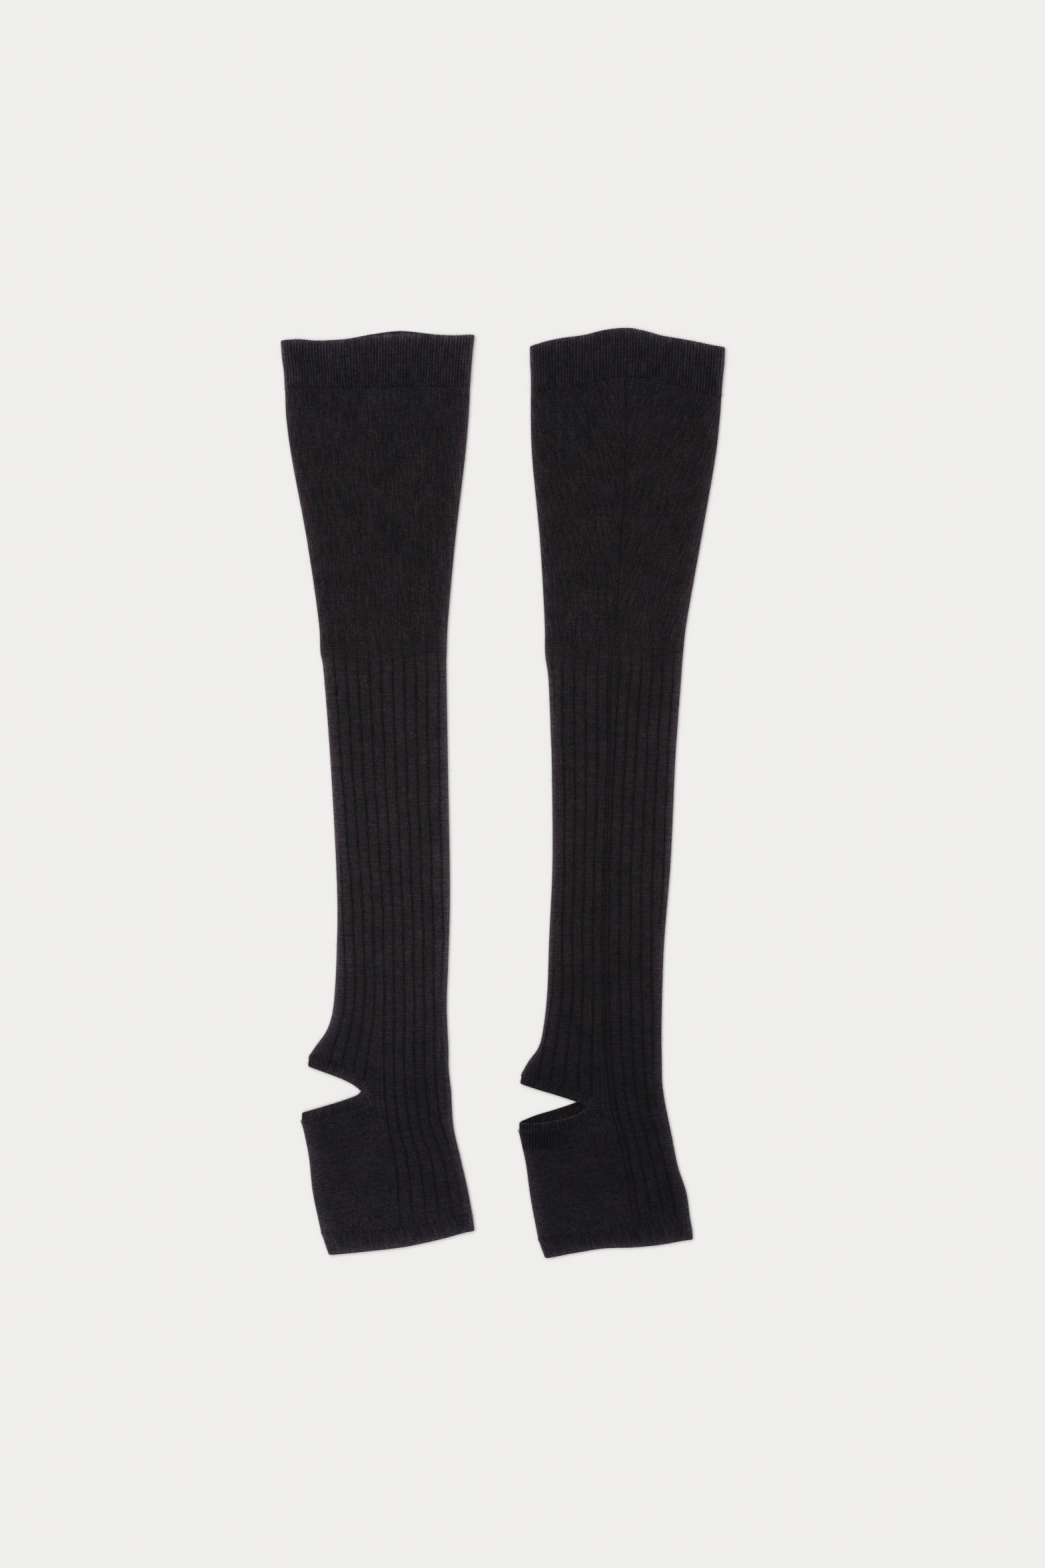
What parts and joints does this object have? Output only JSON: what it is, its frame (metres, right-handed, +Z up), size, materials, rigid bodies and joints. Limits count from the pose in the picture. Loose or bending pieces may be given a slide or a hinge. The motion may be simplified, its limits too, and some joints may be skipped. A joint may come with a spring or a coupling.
{
  "type": "pair of stirrup socks",
  "caption": "Knee-high knitted stirrup socks with a ribbed welt, an open bound heel and an open hemmed toe, laid flat side by side.",
  "frame": {"origin": "on the resting surface, under the middle of the pair's bounding box", "axes": "+X across the pair, away from the heel openings; +Y along the socks, from toes to welts; +Z up from the surface"},
  "size_m": [0.2948, 0.6166, 0.0054],
  "materials": {
    "black_wool_knit": "matt fine wool knit, near black with a faint violet cast and a short nap"
  },
  "bodies": {
    "root": {"left_sock_leg": "black_wool_knit", "left_sock_welt": "black_wool_knit", "left_sock_heel_band": "black_wool_knit", "left_sock_toe_hem": "black_wool_knit", "right_sock_leg": "black_wool_knit", "right_sock_welt": "black_wool_knit", "right_sock_heel_band": "black_wool_knit", "right_sock_toe_hem": "black_wool_knit"}
  },
  "joints": []
}
